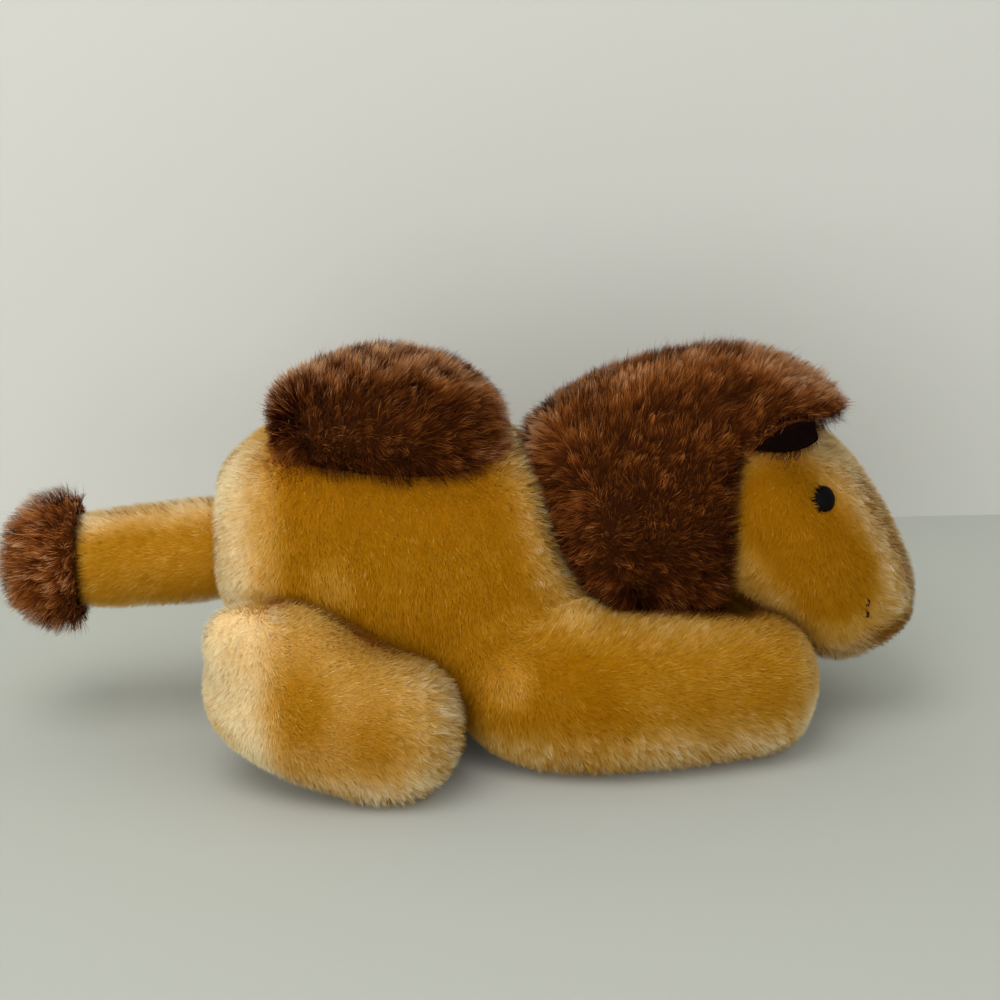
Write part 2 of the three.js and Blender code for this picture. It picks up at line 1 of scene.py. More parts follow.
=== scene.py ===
# %% [markdown]
# # A stuffed plush camel
# The camel lies on its folded legs. Its covers are two cloths: a short golden pile on the body, legs,
# face and tail, and a long brown pile on the rear hump, the mane and the tuft of the tail. The packed
# model gives the solids at their true size, so every skin here is taken from them and fits without any
# placing by hand.

import math

import bmesh
import bpy
import numpy as np
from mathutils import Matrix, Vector
from mathutils.bvhtree import BVHTree


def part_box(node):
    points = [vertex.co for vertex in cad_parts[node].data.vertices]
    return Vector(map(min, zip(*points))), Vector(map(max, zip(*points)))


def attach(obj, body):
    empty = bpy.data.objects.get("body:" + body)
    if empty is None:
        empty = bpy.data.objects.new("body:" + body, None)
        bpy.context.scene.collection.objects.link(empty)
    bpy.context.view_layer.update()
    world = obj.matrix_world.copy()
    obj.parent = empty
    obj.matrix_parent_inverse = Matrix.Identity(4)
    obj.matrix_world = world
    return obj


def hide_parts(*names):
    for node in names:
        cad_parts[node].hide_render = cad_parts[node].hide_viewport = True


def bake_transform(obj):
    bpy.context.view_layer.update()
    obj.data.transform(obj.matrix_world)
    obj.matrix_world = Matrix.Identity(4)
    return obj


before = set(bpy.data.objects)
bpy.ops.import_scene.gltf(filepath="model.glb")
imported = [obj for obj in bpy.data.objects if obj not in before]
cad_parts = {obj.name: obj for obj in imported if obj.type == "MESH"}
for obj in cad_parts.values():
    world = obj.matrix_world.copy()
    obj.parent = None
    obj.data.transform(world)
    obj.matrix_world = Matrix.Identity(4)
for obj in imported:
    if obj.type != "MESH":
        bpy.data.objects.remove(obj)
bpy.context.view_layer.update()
MM = 0.001

# %% [markdown]
# ## The two cloths
# A pile cloth is known by how long its pile is, how thickly it stands and how thick one strand of it
# looks. The strands stand on a skin that lies below the outside of the solid, so that the tips of the
# pile end there. Some of the pile lies flat as smooth velvet, and some is longer, straying and gathered
# into locks. So each value that changes from one to the other is a pair: for the smoothest pile first,
# and for the shaggiest second.
#
# - density: strands on a square metre. sunk: how deep the skin lies. rings: how many pieces make up a strand.
# - lean and stray: how far a strand leans over as it was brushed, and how far it strays from that.
# - clump and gather: the size of a lock, and how far its tips come together.
# - facing: how much the shading follows the strand instead of the skin.
# - flecks, spread and lumps: how often a lock is pale, how far tones differ, and how far lengths do.
# - guard: how often a strand is a long one, and how much longer. dense: the share that casts shadows.
# - curl: the size of the swirls in the brushing, and how strong they are.

# %% Sizes of the pile
quick_share = 1.0
GOLD = {
    "length": (2.2 * MM, 4.0 * MM), "width": (0.19 * MM, 0.115 * MM), "rings": 2,
    "density": 9.0e6 * quick_share, "sunk": 1.5 * MM, "dense": 0.33, "facing": 0.20,
    "lean": (0.90, 0.70), "stray": (0.12, 0.28), "clump": 1.8 * MM, "gather": (0.10, 0.90),
    "flecks": 0.002, "spread": (0.035, 0.16), "lumps": 0.04, "guard": (0.01, 1.25), "curl": (22 * MM, 0.30),
}
BROWN = {
    "length": (4.6 * MM, 5.8 * MM), "width": (0.13 * MM, 0.12 * MM), "rings": 3,
    "density": 6.5e6 * quick_share, "sunk": 2.6 * MM, "dense": 0.45, "facing": 0.6,
    "lean": (0.45, 0.65), "stray": (0.34, 0.44), "clump": 2.1 * MM, "gather": (0.4, 0.9),
    "flecks": 0.02, "spread": (0.10, 0.20), "lumps": 0.08, "guard": (0.08, 1.45), "curl": (9 * MM, 0.55),
}
EAR = {**BROWN, "length": (3.2 * MM, 3.6 * MM), "sunk": 0.5 * MM, "clump": 1.2 * MM, "lean": (0.9, 0.9)}
VOXEL = 1.4 * MM
EAR_VOXEL = 0.45 * MM
FELT_VOXEL = 0.3 * MM
EVENING_PASSES = 26
EAR_PASSES = 6
DEEPEST_SHARE = 0.36
SIDES = (("left", 1), ("right", -1))
rng = np.random.default_rng(7)

# %% [markdown]
# ## Skins
# A stuffed form is round and has no facets. The faceted solids of one form are copied into one mesh, the
# voxel remesher welds them into a single closed surface, and a few passes that move each point towards
# its neighbours take the facets away. Smoothing shrinks a form, so the surface is then moved out until
# the volume is right again. Last it is sunk below the outside by the depth of the pile, and less where a
# form is thin.


# %% Helpers that read and write a mesh as arrays
def link(piece):
    bpy.context.scene.collection.objects.link(piece)
    return piece


def points_of(mesh):
    points = np.empty(len(mesh.vertices) * 3)
    mesh.vertices.foreach_get("co", points)
    return points.reshape(-1, 3)


def normals_of(mesh):
    normals = np.empty(len(mesh.vertices) * 3)
    mesh.vertex_normals.foreach_get("vector", normals)
    return normals.reshape(-1, 3)


def set_points(mesh, points):
    mesh.vertices.foreach_set("co", points.ravel())
    mesh.update()


def edges_of(mesh):
    edges = np.empty(len(mesh.edges) * 2, np.int64)
    mesh.edges.foreach_get("vertices", edges)
    return edges.reshape(-1, 2)


def unit(vectors):
    return vectors / (np.linalg.norm(vectors, axis=-1, keepdims=True) + 1e-12)


# %% Even out values over a mesh
def evened(values, edges, passes, share=0.5):
    count = np.bincount(edges.ravel(), minlength=len(values))[:, None]
    for _ in range(passes):
        total = np.stack([
            np.bincount(edges[:, 0], values[edges[:, 1], k], len(values))
            + np.bincount(edges[:, 1], values[edges[:, 0], k], len(values))
            for k in range(values.shape[1])], axis=1)
        values = values + share * (total / np.maximum(count, 1) - values)
    return values


# %% Area and volume of a closed mesh
def area_and_volume(mesh):
    shape = bmesh.new()
    shape.from_mesh(mesh)
    area = sum(face.calc_area() for face in shape.faces)
    volume = shape.calc_volume()
    shape.free()
    return area, volume


# %% How far it is through a form at each point
def tree_of(mesh):
    return BVHTree.FromPolygons([v.co for v in mesh.vertices], [p.vertices for p in mesh.polygons])


def thickness_of(mesh, most):
    points, normals = points_of(mesh), normals_of(mesh)
    tree = tree_of(mesh)
    depth = np.full(len(points), most)
    for k, (point, normal) in enumerate(zip(points, normals)):
        hit = tree.ray_cast(Vector(point - normal * 0.2 * MM), Vector(-normal), most)
        if hit[3] is not None:
            depth[k] = hit[3]
    return depth


# %% One closed skin from the solids of a form
def skin(name, nodes, sunk, voxel=VOXEL, passes=EVENING_PASSES):
    shape = bmesh.new()
    for node in nodes:
        shape.from_mesh(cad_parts[node].data)
    mesh = bpy.data.meshes.new(name)
    shape.to_mesh(mesh)
    shape.free()
    piece = link(bpy.data.objects.new(name, mesh))
    remesh = piece.modifiers.new("weld", "REMESH")
    remesh.mode = "VOXEL"
    remesh.voxel_size = voxel
    welded = bpy.data.meshes.new_from_object(piece.evaluated_get(bpy.context.evaluated_depsgraph_get()))
    piece.modifiers.clear()
    piece.data = welded
    welded.name = name
    keep_largest(welded)
    _, full = area_and_volume(welded)
    edges = edges_of(welded)
    set_points(welded, evened(points_of(welded), edges, passes))
    area, volume = area_and_volume(welded)
    set_points(welded, points_of(welded) + normals_of(welded) * (full - volume) / area)
    depth = np.minimum(sunk, DEEPEST_SHARE * thickness_of(welded, 8 * sunk))[:, None]
    depth = evened(depth, edges, 8)
    set_points(welded, points_of(welded) - normals_of(welded) * depth)
    set_points(welded, evened(points_of(welded), edges, 2))
    welded.polygons.foreach_set("use_smooth", np.ones(len(welded.polygons), bool))
    print(name, len(welded.polygons), "faces,", round(full * 1e6, 1), "ml")
    return piece


# %% Leave out the loose inner shells
def keep_largest(mesh):
    shape = bmesh.new()
    shape.from_mesh(mesh)
    left, islands = set(shape.verts), []
    while left:
        island, front = set(), [left.pop()]
        while front:
            vertex = front.pop()
            island.add(vertex)
            for edge in vertex.link_edges:
                other = edge.other_vert(vertex)
                if other in left:
                    left.discard(other)
                    front.append(other)
        islands.append(island)
    largest = max(islands, key=len)
    bmesh.ops.delete(shape, geom=[v for v in shape.verts if v not in largest], context="VERTS")
    shape.to_mesh(mesh)
    shape.free()


# %% Tuck the edge of one form under the cloth of another
def tuck(piece, other, near=9 * MM):
    tree = tree_of(other)
    points = points_of(piece.data)
    for k, point in enumerate(points):
        place, normal, _, gap = tree.find_nearest(Vector(point), 2 * near)
        if place is None:
            continue
        above = (Vector(point) - place).dot(normal)
        share = min(max((near - above) / near, 0), 1)
        points[k] -= np.array(normal) * near * share * share * (3 - 2 * share)
    set_points(piece.data, points)


# %% A soft step from 0 at one value to 1 at another
def rise(values, low, high):
    share = np.clip((values - low) / (high - low), 0, 1)
    return share * share * (3 - 2 * share)


# %% Fill a valley between two forms that one cloth spans
def span_valley(piece, spot, reach, passes=140):
    points, normals, edges = points_of(piece.data), normals_of(piece.data), edges_of(piece.data)
    out = ((evened(points, edges, passes) - points) * normals).sum(1)
    share = rise(np.linalg.norm(points - np.array(spot), axis=1), reach, 0.6 * reach)
    set_points(piece.data, points + normals * (np.maximum(out, 0) * 1.4 * share)[:, None])
    set_points(piece.data, evened(points_of(piece.data), edges, 3))


# %% Pull a corner out of a form
def pull_out(piece, spot, reach, way):
    points = points_of(piece.data)
    share = rise(np.linalg.norm(points - np.array(spot), axis=1), reach, 0.15 * reach)
    set_points(piece.data, points + share[:, None] * np.array(way))


# %% [markdown]
# ### The forms of the camel
# The golden body and both front legs are one run of cloth on the real toy, so they are welded into one
# surface here too. The face, the mane, the rear hump, the hind legs, the tail and its tuft are sewn on as
# forms of their own. The cloth spans the valley in front of each shoulder, and the hind legs' and the
# rump's rear corners are fuller than their solids.

# %% Skins of all forms
GOLD_BODY = [
    "rump_panel", "belly_gusset", "left_side_cover", "right_side_cover", "body_filling",
    "left_front_leg_cover", "left_front_leg_filling", "right_front_leg_cover", "right_front_leg_filling",
]
GOLD_FACE = ["nose_gusset", "left_face_cover", "right_face_cover", "head_filling"]
body = skin("body_skin", GOLD_BODY, GOLD["sunk"])
face = skin("face_skin", GOLD_FACE, GOLD["sunk"])
tail = skin("tail_skin", ["tail_cover", "tail_filling"], GOLD["sunk"])
hind_legs = {side: skin(
    f"{side}_hind_leg_skin", [f"{side}_hind_leg_cover", f"{side}_hind_leg_filling"], GOLD["sunk"])
    for side, _ in SIDES}
mane = skin("mane_skin", ["neck_cover", "neck_filling", "crown_cover", "head_filling"], BROWN["sunk"])
hump = skin("rear_hump_skin", ["rear_hump_cover", "rear_hump_filling"], BROWN["sunk"])
tuft = skin("tuft_skin", ["tail_tuft"], BROWN["sunk"])
tuck(hump, body.data)
for side, sign in SIDES:
    span_valley(body, (0.014, sign * 0.044, 0.032), 30 * MM)
    pull_out(hind_legs[side], (-0.056, sign * 0.050, 0.041), 17 * MM, (-0.0075, 0, 0.0055))
    pull_out(body, (-0.054, sign * 0.036, 0.047), 13 * MM, (-0.0040, 0, -0.0030))

# %% [markdown]
# ### Where the cloth bends
# Each front leg splays at the shoulder, and one cloth runs from the flank down the leg. The welded surface is
# cut along a slanting plane behind each shoulder into the body's skin and each front leg's skin.

# %% Cut the body skin behind each shoulder
SHOULDER_SET = 0.0215


def shoulder_direction(sign):
    return np.array([0.55, 0.75 * sign, -0.35]) / np.linalg.norm([0.55, 0.75, 0.35])


def past_shoulder(points, sign):
    return points @ shoulder_direction(sign) - SHOULDER_SET


def cut_at_shoulders(piece):
    shape = bmesh.new()
    shape.from_mesh(piece.data)
    for _, sign in SIDES:
        bmesh.ops.bisect_plane(
            shape, geom=shape.verts[:] + shape.edges[:] + shape.faces[:], dist=1e-7,
            plane_co=shoulder_direction(sign) * SHOULDER_SET, plane_no=shoulder_direction(sign))
    shape.to_mesh(piece.data)
    shape.free()
    middles = np.array([p.center for p in piece.data.polygons])
    parts = {}
    for side, sign in SIDES:
        chosen = (past_shoulder(middles, sign) > 0) & (middles[:, 1] * sign > 0)
        parts[side] = link(bpy.data.objects.new(f"{side}_front_leg_skin", part_of(piece.data, chosen)))
    rest = np.ones(len(middles), bool)
    for _, sign in SIDES:
        rest &= ~((past_shoulder(middles, sign) > 0) & (middles[:, 1] * sign > 0))
    piece.data = part_of(piece.data, rest)
    return parts


def part_of(mesh, chosen):
    shape = bmesh.new()
    shape.from_mesh(mesh)
    shape.faces.ensure_lookup_table()
    bmesh.ops.delete(shape, geom=[f for f in shape.faces if not chosen[f.index]], context="FACES")
    part = bpy.data.meshes.new(mesh.name)
    shape.to_mesh(part)
    shape.free()
    return part


whole_body = body.data.copy()
front_legs = cut_at_shoulders(body)
print("shoulders", {side: len(leg.data.polygons) for side, leg in front_legs.items()}, "faces")

# %% [markdown]
# ## Pile
# Each strand is a narrow ribbon that tapers to a point. It starts on the skin, leaves it nearly upright,
# and leans over towards the way the cloth was brushed, with its flat side outwards, so that few gaps
# show. Strands of one small cell gather into a lock. Every strand carries two numbers in its UV map: its
# own tone across, and the way along it from root to tip upwards, which is all that the colour needs. A
# share of the strands casts shadows, which gives the pile its depth. The rest, named fluff, casts none,
# which keeps the rims light.

# %% Roots scattered over a skin
def roots_on(mesh, density):
    mesh.calc_loop_triangles()
    corners = np.empty(len(mesh.loop_triangles) * 3, np.int64)
    mesh.loop_triangles.foreach_get("vertices", corners)
    corners = corners.reshape(-1, 3)
    points, normals = points_of(mesh), normals_of(mesh)
    a, b, c = (points[corners[:, k]] for k in range(3))
    areas = np.cumsum(np.linalg.norm(np.cross(b - a, c - a), axis=1) / 2)
    count = int(areas[-1] * density)
    picked = np.searchsorted(areas, rng.random(count) * areas[-1])
    u, v = np.sqrt(rng.random(count)), rng.random(count)
    weights = np.stack([1 - u, u * (1 - v), u * v], axis=1)[:, :, None]
    return (points[corners[picked]] * weights).sum(1), unit((normals[corners[picked]] * weights).sum(1))


# %% Roots that another form covers grow nothing
SLANT = Vector((0.31, -0.17, 0.935))
MOST_CROSSINGS = 20


def inside(tree, point):
    crossings, place = 0, Vector(point)
    while crossings < MOST_CROSSINGS:
        hit = tree.ray_cast(place, SLANT)[0]
        if hit is None:
            break
        crossings += 1
        place = hit + SLANT * 0.01 * MM
    return crossings % 2 == 1


def uncovered(roots, covers):
    shown = np.ones(len(roots), bool)
    for mesh in covers:
        tree, points = tree_of(mesh), points_of(mesh)
        near = np.all((roots > points.min(0)) & (roots < points.max(0)), axis=1) & shown
        for k in np.flatnonzero(near):
            shown[k] = not inside(tree, roots[k])
    return shown


# %% Soft patches, as the hand leaves them on plush
def patchy(points, size, waves=7):
    total = np.zeros(len(points))
    for _ in range(waves):
        total += np.sin(points @ unit(rng.normal(0, 1, 3)) * 2 * math.pi / (size * rng.uniform(0.6, 1.6))
                        + rng.uniform(0, 2 * math.pi))
    return total / math.sqrt(waves)


def between(pair, shag):
    return (pair[0] + (pair[1] - pair[0]) * shag)[:, None]


# %% Which lock each root belongs to
CELL_BLUR = 0.22


def locks_of(roots, clump):
    blurred = roots + rng.normal(0, CELL_BLUR, roots.shape) * clump
    cells = np.floor(blurred / clump).astype(int)
    _, group = np.unique(cells, axis=0, return_inverse=True)
    return group.ravel()


# %% The tone of each strand, before its lock's share
TONE_PATCH, LENGTH_PATCH = 16 * MM, 9 * MM
PATCH_TONE, LONG_TONE, FLECK_TONE = 0.08, 0.3, (0.2, 0.5)


def toned(roots, group, guard, tone, flecks):
    locks = group.max() + 1
    pale = rng.uniform(*FLECK_TONE, locks) * (rng.random(locks) < flecks)
    tone = tone + pale[group] + LONG_TONE * guard
    return np.clip(tone + PATCH_TONE * patchy(roots, TONE_PATCH) * (0.25 + tone), 0, 1)


# %% Brushing laid flat on the skin, with swirls in it
def laid_flat(comb, roots, normals, curl):
    size, amount = curl
    comb = comb + np.cross(normals, comb) * amount * patchy(roots, size)[:, None]
    brushed = comb - normals * (comb * normals).sum(1, keepdims=True)
    return brushed / np.maximum(np.linalg.norm(brushed, axis=1, keepdims=True), 0.3)


# %% Strands as ribbons
START_LEAN, START_STRAY, END_LEAN = 0.35, 0.4, 1.6
LOCK_PULL = (0.3, 1.4)
TAPER = 0.55
FLOOR_GAP = 0.1 * MM


def strands(name, roots, normals, cloth, comb, tone, shag):
    count = len(roots)
    group = locks_of(roots, cloth["clump"])
    locks = group.max() + 1
    often, longer = cloth["guard"]
    guard = rng.random(count) < often
    tone = toned(roots, group, guard, tone, cloth["flecks"])
    reach = between(cloth["length"], shag) * np.clip(rng.normal(0.95, 0.12, count), 0.55, 1.4)[:, None]
    reach *= (np.where(guard, longer, 1.0) * (1 + cloth["lumps"] * patchy(roots, LENGTH_PATCH)))[:, None]
    brushed = laid_flat(comb, roots, normals, cloth["curl"])
    stray = rng.normal(0, 1, (count, 3)) * between(cloth["stray"], shag)
    lean = between(cloth["lean"], shag) * brushed
    lean = lean * (1 + rng.uniform(-0.5, 0.5, locks)[group] * shag)[:, None]
    middle = roots + unit(normals + START_LEAN * lean + START_STRAY * stray) * reach * 0.5
    tip = middle + unit(normals + END_LEAN * lean + stray) * reach * 0.5
    gathered = np.stack([np.bincount(group, tip[:, k]) for k in range(3)], axis=1)
    gathered = gathered / np.bincount(group)[:, None]
    pull = rng.uniform(*LOCK_PULL, locks)[group][:, None] * between(cloth["gather"], shag)
    tip += (gathered[group] - tip) * np.clip(pull, 0, 0.9)
    apart = rng.normal(0, 1, locks)[group] + rng.normal(0, 0.6, count)
    shade = np.clip(tone + apart * between(cloth["spread"], shag)[:, 0], 0.01, 0.99)
    rings = cloth["rings"]
    side = unit(np.cross(unit(tip - roots), normals) + rng.normal(0, 0.12, (count, 3)))
    levels = []
    for s in np.arange(rings) / rings:
        centre = (1 - s) ** 2 * roots + 2 * s * (1 - s) * middle + s ** 2 * tip
        half = 0.5 * between(cloth["width"], shag) * (1 - TAPER * s) * side
        levels += [centre - half, centre + half]
    points = np.stack(levels + [tip], axis=1)
    points[:, :, 2] = np.maximum(points[:, :, 2], FLOOR_GAP)
    facing = unit(normals + cloth["facing"] * unit(tip - roots))
    dense = rng.random(count) < cloth["dense"]
    pile = ribbons(name, points[dense], shade[dense], rings, facing[dense])
    fluff = ribbons(name.replace("pile", "fluff"), points[~dense], shade[~dense], rings, facing[~dense])
    fluff.visible_shadow = False
    return [pile, fluff]


# %% Ribbons as one mesh
def ribbons(name, points, shade, rings, facing):
    count, per = points.shape[:2]
    first = np.arange(count)[:, None] * per
    quads = [np.concatenate([first + 2 * k + step for step in (0, 1, 3, 2)], axis=1)
             for k in range(rings - 1)]
    last = np.concatenate([first + per - 3, first + per - 2, first + per - 1], axis=1)
    corners = np.concatenate(quads + [last], axis=1)
    loops = corners.ravel()
    sizes = np.tile([4] * (rings - 1) + [3], count)
    mesh = bpy.data.meshes.new(name)
    mesh.vertices.add(count * per)
    mesh.loops.add(len(loops))
    mesh.polygons.add(len(sizes))
    mesh.vertices.foreach_set("co", points.ravel())
    mesh.loops.foreach_set("vertex_index", loops)
    mesh.polygons.foreach_set("loop_start", np.concatenate([[0], np.cumsum(sizes)[:-1]]))
    mesh.polygons.foreach_set("use_smooth", np.ones(len(sizes), bool))
    along = np.array([s / rings for k in range(rings) for s in (k, k)] + [1.0])
    across = np.tile(shade[:, None], (1, per))
    upward = np.tile(along[None, :], (count, 1))
    both = np.stack([across.ravel(), upward.ravel()], axis=1)[loops]
    for layer in ("strand", "OFBake"):
        mesh.uv_layers.new(name=layer)
        mesh.uv_layers[layer].data.foreach_set("uv", both.ravel())
    mesh.update()
    soft = mesh.attributes.new("custom_normal", "FLOAT_VECTOR", "POINT")
    soft.data.foreach_set("vector", np.repeat(facing, per, axis=0).ravel())
    print(name, count, "strands")
    return link(bpy.data.objects.new(name, mesh))


# %% [markdown]
# ## Colour
# A strand is deep at its root and pale at its tip. Looking straight down into the pile one sees between the
# tips to the deep colour, and along a rounded edge only the pale tips, which gives plush part of its light
# rim. The rest of the light on the rims and tops is painted into the tone by the looks below.


# %% Material of a pile
def ramp(tree, factor, stops):
    node = tree.nodes.new("ShaderNodeValToRGB")
    elements = node.color_ramp.elements
    while len(elements) < len(stops):
        elements.new(0.5)
    for element, (place, colour) in zip(elements, stops):
        element.position = place
        element.color = (*colour, 1)
    tree.links.new(factor, node.inputs["Fac"])
    return node.outputs["Color"]


def mixed(tree, factor, first, second, kind="MIX"):
    node = tree.nodes.new("ShaderNodeMix")
    node.data_type = "RGBA"
    node.blend_type = kind
    if isinstance(factor, float):
        node.inputs["Factor"].default_value = factor
    else:
        tree.links.new(factor, node.inputs["Factor"])
    tree.links.new(first, node.inputs["A"])
    tree.links.new(second, node.inputs["B"])
    return node.outputs["Result"]


def new_material(name, roughness, gloss=0.04):
    material = bpy.data.materials.new(name)
    material.use_nodes = True
    shader = material.node_tree.nodes["Principled BSDF"]
    shader.inputs["Roughness"].default_value = roughness
    shader.inputs["Specular IOR Level"].default_value = gloss
    return material, material.node_tree, shader


def pile_material(name, roots, tips, way_up, roughness):
    material, tree, shader = new_material(name, roughness)
    layer = tree.nodes.new("ShaderNodeUVMap")
    layer.uv_map = "strand"
    split = tree.nodes.new("ShaderNodeSeparateXYZ")
    tree.links.new(layer.outputs["UV"], split.inputs["Vector"])
    low = ramp(tree, split.outputs["X"], roots)
    high = ramp(tree, split.outputs["X"], tips)
    way = tree.nodes.new("ShaderNodeMapRange")
    way.interpolation_type = "SMOOTHSTEP"
    way.inputs["From Min"].default_value, way.inputs["From Max"].default_value = way_up
    tree.links.new(split.outputs["Y"], way.inputs["Value"])
    tree.links.new(mixed(tree, way.outputs["Result"], low, high), shader.inputs["Base Color"])
    return material


GOLD_ROOTS = [
    (0, (0.38, 0.145, 0.0004)), (0.22, (0.48, 0.21, 0.008)),
    (0.55, (0.66, 0.36, 0.070)), (1, (0.92, 0.68, 0.32))]
GOLD_TIPS = [
    (0, (0.40, 0.155, 0.0006)), (0.22, (0.53, 0.25, 0.016)),
    (0.55, (0.74, 0.44, 0.11)), (1, (1.0, 0.87, 0.55))]
BROWN_ROOTS = [(0, (0.018, 0.004, 0.001)), (0.6, (0.11, 0.021, 0.002)), (1, (0.26, 0.065, 0.006))]
BROWN_TIPS = [(0, (0.07, 0.014, 0.001)), (0.6, (0.50, 0.155, 0.028)), (1, (0.95, 0.55, 0.28))]
gold_strands = pile_material("gold_strands", GOLD_ROOTS, GOLD_TIPS, (0.2, 1.0), 0.8)
brown_strands = pile_material("brown_strands", BROWN_ROOTS, BROWN_TIPS, (0.30, 1.0), 0.8)


# %% Materials with a fine grain: cloth under the pile, felt, thread and the eyes' plastic
def grained(name, dark, light, grain, detail=4, ends=(0.3, 0.7), roughness=0.9, gloss=0.04,
            bump=(0.6, 0.3 * MM), tones=None, laid="Object"):
    material, tree, shader = new_material(name, roughness, gloss)
    place = tree.nodes.new("ShaderNodeTexCoord")
    noise = tree.nodes.new("ShaderNodeTexNoise")
    noise.inputs["Scale"].default_value = grain
    noise.inputs["Detail"].default_value = detail
    tree.links.new(place.outputs[laid], noise.inputs["Vector"])
    colour = ramp(tree, noise.outputs["Fac"], list(zip(ends, (dark, light))))
    if tones:
        tone = tree.nodes.new("ShaderNodeAttribute")
        tone.attribute_name = "tone"
        colour = mixed(tree, 1.0, ramp(tree, tone.outputs["Fac"], tones), colour, "MULTIPLY")
    tree.links.new(colour, shader.inputs["Base Color"])
    if bump:
        relief = tree.nodes.new("ShaderNodeBump")
        relief.inputs["Strength"].default_value, relief.inputs["Distance"].default_value = bump
        tree.links.new(noise.outputs["Fac"], relief.inputs["Height"])
        tree.links.new(relief.outputs["Normal"], shader.inputs["Normal"])
    return material


gold_cloth = grained("gold_cloth", (0.88, 0.86, 0.84), (1.0, 1.0, 1.0), 1500, tones=GOLD_ROOTS)
brown_cloth = grained("brown_cloth", (0.030, 0.008, 0.001), (0.060, 0.016, 0.003), 1200)
brown_thread = grained("brown_thread", (0.014, 0.005, 0.003), (0.045, 0.018, 0.010), 3000)
cream_thread = grained("cream_thread", (0.50, 0.38, 0.20), (0.68, 0.56, 0.34), 3000)
felt = grained(
    "dark_felt", (0.002, 0.001, 0.001), (0.009, 0.004, 0.003), 2600, detail=5, ends=(0.3, 0.75),
    roughness=1.0, gloss=0.0, bump=(1.0, 0.1 * MM))
eye_black = grained(
    "eye_black", (0.003, 0.003, 0.003), (0.007, 0.006, 0.006), 900, detail=2, roughness=0.45, gloss=0.02,
    bump=None, laid="Generated")
print(len(bpy.data.materials), "materials")


# %% [markdown]
# ## Brushing and growing
# Each form's pile is brushed its own way: down on the body, along the front legs and the tail, down and
# forwards on the hind legs, outwards from the middle of the nose, forwards over the forehead, and away
# from one spot on the rear hump and the tuft. Each form's look gives two numbers at every point. Its tone
# goes from 0, deep amber or dark brown, to 1, cream or tan. Its shag goes from 0, smooth velvet, to 1,
# long loose locks. Where a covering form or a felt lining lies over a skin, and at the eyes and mouth,
# nothing grows.

# %% Brushing
def one_way(points, *direction):
    return np.tile(np.array(direction, float), (len(points), 1))


def towards(*direction):
    return lambda points: one_way(points, *direction)


def away_from(*spot):
    return lambda points: unit(points - np.array(spot, float))


# %% Dress a skin with its pile
BARE_SHAPE = np.array([1, 0.35, 1])


def dress(piece, cloth, comb, look, covers=(), bare=(), under=None):
    roots, normals = roots_on(piece.data, cloth["density"])
    shown = uncovered(roots, covers)
    if under:
        shown &= open_above(roots, normals, under)
    for spot, reach in bare:
        shown &= np.linalg.norm((roots - spot) * BARE_SHAPE, axis=1) > reach
    roots, normals = roots[shown], normals[shown]
    tone, shag = look(roots, normals)
    grown = strands(piece.name.replace("_skin", "_pile"), roots, normals, cloth, comb(roots), tone, shag)
    gold = cloth is GOLD
    piece.data.materials.clear()
    piece.data.materials.append(gold_cloth if gold else brown_cloth)
    # The cloth under the pile takes the look's tone as well, painted light included
    toned = piece.data.attributes.new("tone", "FLOAT", "POINT")
    toned.data.foreach_set("value", look(points_of(piece.data), normals_of(piece.data))[0])
    for pile in grown:
        pile.data.materials.append(gold_strands if gold else brown_strands)
    return grown


# %% Roots under a lining grow nothing
def open_above(roots, normals, mesh, near=4 * MM):
    tree = tree_of(mesh)
    return np.array([tree.ray_cast(Vector(root), Vector(normal), near)[0] is None
                     for root, normal in zip(roots, normals)])


# %% Turn from one direction to another
def blended(first, second, share):
    return unit(first + (second - first) * share[:, None])


# %% [markdown]
# ### Looks of the golden forms
# A look adds up soft steps and round spots at places on the toy, in metres: rise(value, a, b) goes from 0
# at a to 1 at b, and near_spot is 1 at a spot and 0 beyond its reach. The body's look turns into the
# front legs' look across the shoulders, so that no edge shows where the two skins meet.

# %% Body and front legs: deep amber, paler at the rump and along the shoulder seam, paler low down as pale locks partly lightened by painted light, and with painted rim light
SEAM_POINTS = np.array([
    (0.0155, 0.0771), (0.0227, 0.0668), (0.0270, 0.0509),
    (0.0350, 0.0382), (0.0393, 0.0246), (0.0447, 0.008)])


def behind_seam(points):
    return np.interp(points[:, 2], SEAM_POINTS[::-1, 1], SEAM_POINTS[::-1, 0]) - points[:, 0]


def body_comb(points):
    down, forward, rearward = (
        one_way(points, *direction) for direction in ((0.15, 0, -1), (1, 0, 0.5), (-0.5, 0, -1)))
    comb = blended(down, rearward, rise(points[:, 0], -0.044, -0.050))
    at_seam = rise(behind_seam(points), 0.010, 0.002) * rise(points[:, 2], 0.030, 0.040)
    return blended(comb, forward, at_seam)


# Painted rim light: this mask rises where the skin turns sideways to the camera, and the looks paint the pile
# paler there (the tail's look also makes its pile shaggier there)
def rim_mask_for_painted_light_and_shag(normals, first=0.5, full=1.0):
    return rise(1 - np.abs(normals[:, 1]), first, full)


def near_spot(points, x, z, reach):
    return rise(np.hypot(points[:, 0] - x, points[:, 2] - z), reach, 0.25 * reach)


def body_look(points, normals):
    rump = rise(points[:, 0], -0.041, -0.049)
    seam = rise(behind_seam(points), 0.019, 0.006) * rise(points[:, 2], 0.026, 0.036)
    # Paler low down: pale locks, and partly painted light where the bottoms face away from the lamps
    low = rise(points[:, 2], 0.020, 0.006)
    tone = 0.04 + 0.42 * rump + 0.55 * seam + 0.45 * low + 0.22 * near_spot(points, -0.033, 0.048, 0.009)
    # Painted rim light: the rear edge and the rims turned sideways to the camera are painted paler
    tone += 0.42 * rise(points[:, 0], -0.047, -0.056) + 0.12 * rim_mask_for_painted_light_and_shag(normals)
    return np.minimum(tone, 0.98), np.clip(0.04 + 0.20 * rump + 0.95 * seam + 0.3 * low, 0, 1)


